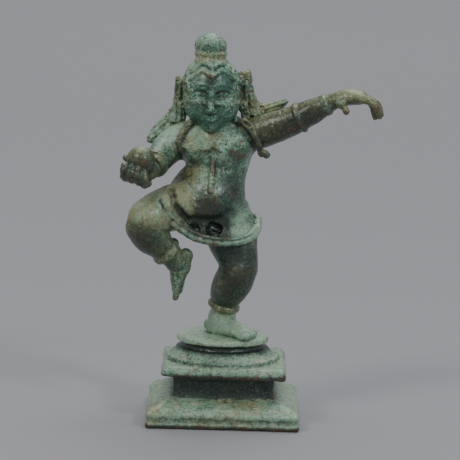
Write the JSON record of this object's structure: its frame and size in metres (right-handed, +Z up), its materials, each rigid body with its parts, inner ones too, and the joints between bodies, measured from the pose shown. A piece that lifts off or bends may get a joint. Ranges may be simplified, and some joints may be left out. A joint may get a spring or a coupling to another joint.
{
  "type": "dancing figure statuette",
  "caption": "Small patinated cast copper-alloy figure dancing on one leg with a ball in its right hand, on a stepped square pedestal.",
  "frame": {"origin": "middle of the pedestal's flat underside, which is the resting face", "axes": "+Z up; -Y is the way the figure faces; +X is the figure's left, where the stretched arm points"},
  "size_m": [0.0691, 0.042, 0.1038],
  "materials": {
    "cloth_patina": "green patina with ochre wear along the rolled edge",
    "dark_patina": "dark olive-brown patina with green in the hollows, half gloss",
    "hair_patina": "pitted green patina with cream crust in the hollows",
    "ornament_patina": "crusted olive-green patina",
    "pedestal_patina": "pale grey-green verdigris with brown wear on the edges, dull and granular",
    "skin_patina": "teal-green verdigris over brown copper alloy, worn semi-smooth on the high parts",
    "worn_patina": "rubbed dark brown-green patina, half gloss"
  },
  "bodies": {
    "root": {"plinth_base": "pedestal_patina", "plinth_cushion": "pedestal_patina", "pedestal_neck": "pedestal_patina", "pedestal_slab": "pedestal_patina", "lotus_ring": "pedestal_patina", "lotus_disc": "pedestal_patina", "chest": "skin_patina", "abdomen": "skin_patina", "head": "skin_patina", "neck": "skin_patina", "hair_cap": "hair_patina", "topknot_band": "hair_patina", "topknot": "hair_patina", "left_upper_arm": "skin_patina", "left_forearm": "skin_patina", "left_hand": "skin_patina", "right_upper_arm": "skin_patina", "right_forearm": "skin_patina", "butter_ball": "worn_patina", "right_hand": "skin_patina", "raised_thigh": "skin_patina", "raised_shin": "dark_patina", "raised_foot": "skin_patina", "standing_thigh": "skin_patina", "standing_shin": "dark_patina", "standing_foot": "skin_patina", "left_elbow_band": "ornament_patina", "left_bracelet": "ornament_patina", "right_bracelet": "ornament_patina", "standing_anklet": "ornament_patina", "raised_anklet": "ornament_patina", "waist_hem_front": "cloth_patina", "waist_hem_back": "cloth_patina", "waist_cloth": "cloth_patina", "front_pleat": "cloth_patina", "back_knot": "cloth_patina", "chest_cord": "ornament_patina", "navel_boss": "ornament_patina", "left_shoulder_cord": "ornament_patina", "right_shoulder_cord": "ornament_patina", "forehead_jewel": "ornament_patina", "left_ear": "hair_patina", "right_ear": "hair_patina", "left_side_locks": "hair_patina", "right_side_locks": "hair_patina", "left_shoulder_locks": "hair_patina", "right_shoulder_locks": "hair_patina", "back_locks": "hair_patina"}
  },
  "joints": []
}
